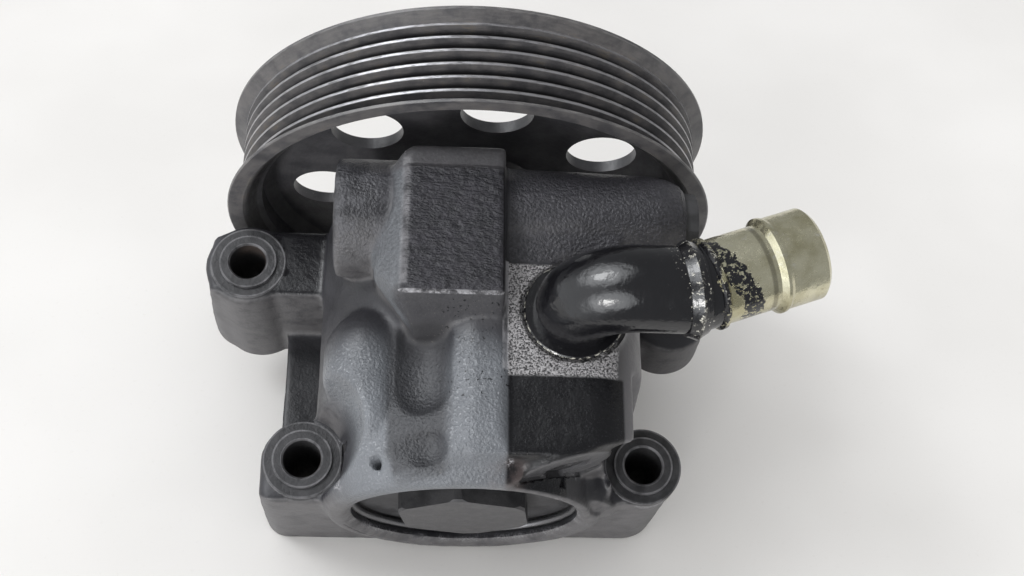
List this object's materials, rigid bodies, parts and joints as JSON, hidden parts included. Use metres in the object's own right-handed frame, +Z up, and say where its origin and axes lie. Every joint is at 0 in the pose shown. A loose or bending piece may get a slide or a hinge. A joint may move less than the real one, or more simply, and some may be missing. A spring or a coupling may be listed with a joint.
{
  "type": "power steering pump",
  "caption": "Black cast vane pump that pumps steering fluid, with a ribbed belt pulley, a bent suction tube, bolt bosses and a pressure port.",
  "frame": {"origin": "on the mounting face, below the shaft axis, on the line of the two rear bolts", "axes": "+Z up, away from the engine bracket along the bolts; +Y along the shaft towards the pulley; +X right, towards the suction tube"},
  "size_m": [0.148, 0.1051, 0.1277],
  "materials": {
    "casting": "black paint over rough casting, worn and dusty",
    "black_steel": "black coated steel, polished by the belt on the ribs",
    "plated_tube": "yellow zinc plate, black paint on the elbow",
    "cover_steel": "grey steel with worn black paint",
    "ground_steel": "ground and hardened",
    "spring_steel": "oiled spring wire",
    "bronze": "plain bearing bronze",
    "seal": "moulded rubber"
  },
  "bodies": {
    "body": {"housing": "casting", "front_bushing": "bronze", "shaft_seal": "seal", "thrust_plate": "ground_steel", "cam_ring": "ground_steel", "pressure_plate": "ground_steel", "dowel_pins": "ground_steel", "plate_spring": "spring_steel", "end_cover": "cover_steel", "cover_oring": "seal", "retaining_ring": "spring_steel", "suction_tube": "plated_tube", "tube_oring": "seal", "flow_spring": "spring_steel", "orifice_fitting": "plated_tube", "valve_plug": "black_steel", "plug_oring": "seal", "core_plug": "cover_steel"},
    "rotating": {"drive_shaft": "ground_steel", "pulley_rim": "black_steel", "pulley_web": "black_steel", "pulley_hub": "black_steel", "rotor": "ground_steel", "vanes": "ground_steel", "rotor_ring": "spring_steel"},
    "spool": {"flow_spool": "ground_steel"}
  },
  "joints": [
    {"name": "shaft_spin", "type": "hinge", "parent": "body", "child": "rotating", "pos_m": [0, 0, 0.035], "axis": [0, 1, 0], "continuous": true},
    {"name": "spool_slide", "type": "slide", "parent": "body", "child": "spool", "axis": [1, 0, 0], "range_m": [0, 0.006], "stiffness_N_per_m": 1500, "springref_m": -0.004, "deforming": ["flow_spring"]}
  ]
}
